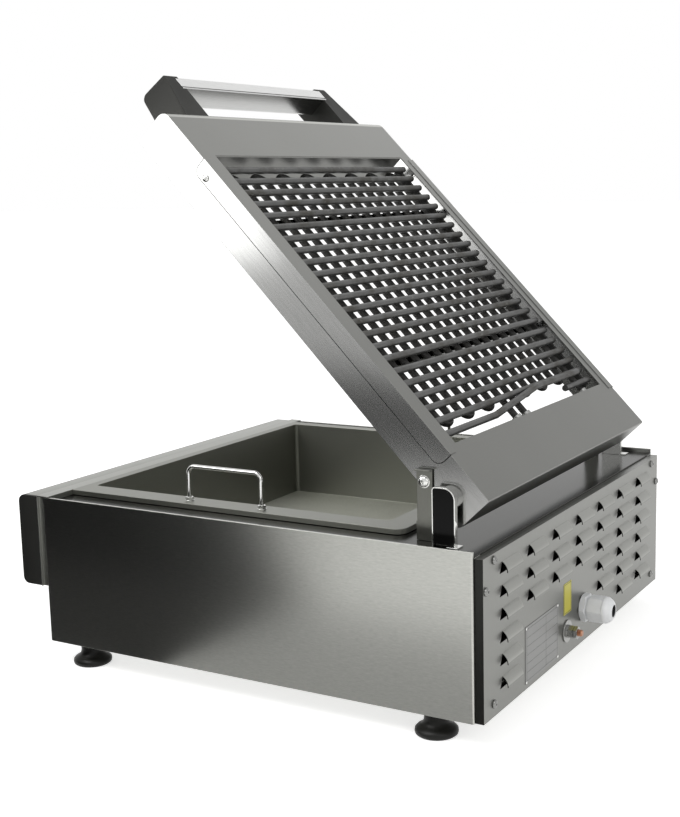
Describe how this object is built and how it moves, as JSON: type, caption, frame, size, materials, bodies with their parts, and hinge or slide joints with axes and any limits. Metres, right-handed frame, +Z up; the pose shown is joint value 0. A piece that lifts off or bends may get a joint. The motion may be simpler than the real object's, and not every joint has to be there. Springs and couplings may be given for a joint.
{
  "type": "steam grill",
  "caption": "Countertop electric steam grill: steel body with a lift-out water pan under a tilting lid that holds heating elements and a rod grate.",
  "frame": {"origin": "on the floor, under the middle of the overall bounding box at rest, with the lid standing open", "axes": "+Z up, -Y front with the control panel, +Y rear with the louvred cover, +X the side to the right seen from the front"},
  "size_m": [0.56, 0.6666, 0.6891],
  "materials": {
    "steel_shell": "brushed stainless sheet, fine grain",
    "steel_top": "satin stainless, greyish",
    "steel_deck": "satin stainless in shade",
    "steel_cover": "satin stainless, pale",
    "steel_pan": "satin stainless with a warm grey cast",
    "bright_steel": "polished steel",
    "zinc_steel": "zinc-plated steel",
    "rod_steel": "dark drawn steel rod",
    "element_tube": "heat-darkened sheath, almost black",
    "bar_metal": "brushed aluminium",
    "black_plastic": "fine-textured black plastic",
    "black_rubber": "black rubber",
    "grey_plastic": "light grey nylon",
    "seal_rubber": "black seal rubber",
    "ceramic": "off-white ceramic",
    "copper": "copper-plated steel",
    "plate_metal": "thin blank aluminium plate",
    "label_film": "blank yellow film",
    "lens_green": "green lens",
    "lens_amber": "amber lens"
  },
  "bodies": {
    "base": {"side_panel_right": "steel_shell", "side_panel_left": "steel_shell", "front_panel": "steel_shell", "bottom_plate": "steel_shell", "top_deck": "steel_deck", "front_fascia": "steel_top", "rear_cover": "steel_cover", "rear_cover_screws": "bright_steel", "control_panel": "black_plastic", "regulator_right": "ceramic", "regulator_left": "ceramic", "pilot_lamp_green": "lens_green", "pilot_lamp_amber": "lens_amber", "foot_front_right": "black_rubber", "foot_front_left": "black_rubber", "foot_rear_right": "black_rubber", "foot_rear_left": "black_rubber", "foot_bolts": "zinc_steel", "terminal_block": "ceramic", "water_pan": "steel_pan", "pan_handle_right": "bright_steel", "pan_handle_left": "bright_steel", "pan_handle_nuts": "bright_steel", "hinge_post_right": "bright_steel", "hinge_post_left": "bright_steel", "hinge_cap_right": "black_plastic", "hinge_cap_left": "black_plastic", "gland_body": "grey_plastic", "gland_cap": "grey_plastic", "gland_seal": "seal_rubber", "gland_locknut": "grey_plastic", "earth_stud": "copper", "earth_nut": "zinc_steel", "rating_plate": "plate_metal", "yellow_label": "label_film"},
    "knob_dial_right": {"knob_right": "black_plastic", "regulator_shaft_right": "zinc_steel"},
    "knob_dial_left": {"knob_left": "black_plastic", "regulator_shaft_left": "zinc_steel"},
    "catch_strip_right": {"catch_right": "steel_shell", "catch_screw_right": "bright_steel"},
    "catch_strip_left": {"catch_left": "steel_shell", "catch_screw_left": "bright_steel"},
    "lid": {"lid_frame": "steel_shell", "terminal_cover": "steel_deck", "side_trim_right": "steel_shell", "side_trim_left": "steel_shell", "trim_screws": "bright_steel", "heating_element_right": "element_tube", "heating_element_left": "element_tube", "element_ferrules": "zinc_steel", "element_support": "steel_deck", "handle_bracket_right": "black_plastic", "handle_bracket_left": "black_plastic", "handle_bar": "bar_metal", "pivot_tube_right": "bright_steel", "pivot_tube_left": "bright_steel"},
    "grate_rack": {"grate": "rod_steel", "lifting_rod": "rod_steel"}
  },
  "joints": [
    {"name": "lid_hinge", "type": "hinge", "parent": "base", "child": "lid", "pos_m": [0, 0.242, 0.246], "axis": [1, 0, 0], "range_deg": [0, 48.7]},
    {"name": "grate_lift", "type": "slide", "parent": "lid", "child": "grate_rack", "axis": [0, 0.7206, 0.6934], "range_m": [0, 0.06]},
    {"name": "knob_turn_right", "type": "hinge", "parent": "base", "child": "knob_dial_right", "pos_m": [0.15, -0.319, 0.15], "axis": [0, 1, 0], "range_deg": [0, 270]},
    {"name": "knob_turn_left", "type": "hinge", "parent": "base", "child": "knob_dial_left", "pos_m": [-0.15, -0.319, 0.15], "axis": [0, 1, 0], "range_deg": [0, 270]},
    {"name": "catch_lean_right", "type": "hinge", "parent": "base", "child": "catch_strip_right", "pos_m": [0.244, 0.216, 0.2003], "axis": [0, 1, 0], "range_deg": [0, 4], "stiffness_Nm_per_rad": 3},
    {"name": "catch_lean_left", "type": "hinge", "parent": "base", "child": "catch_strip_left", "pos_m": [-0.244, 0.216, 0.2003], "axis": [0, -1, 0], "range_deg": [0, 4], "stiffness_Nm_per_rad": 3}
  ]
}
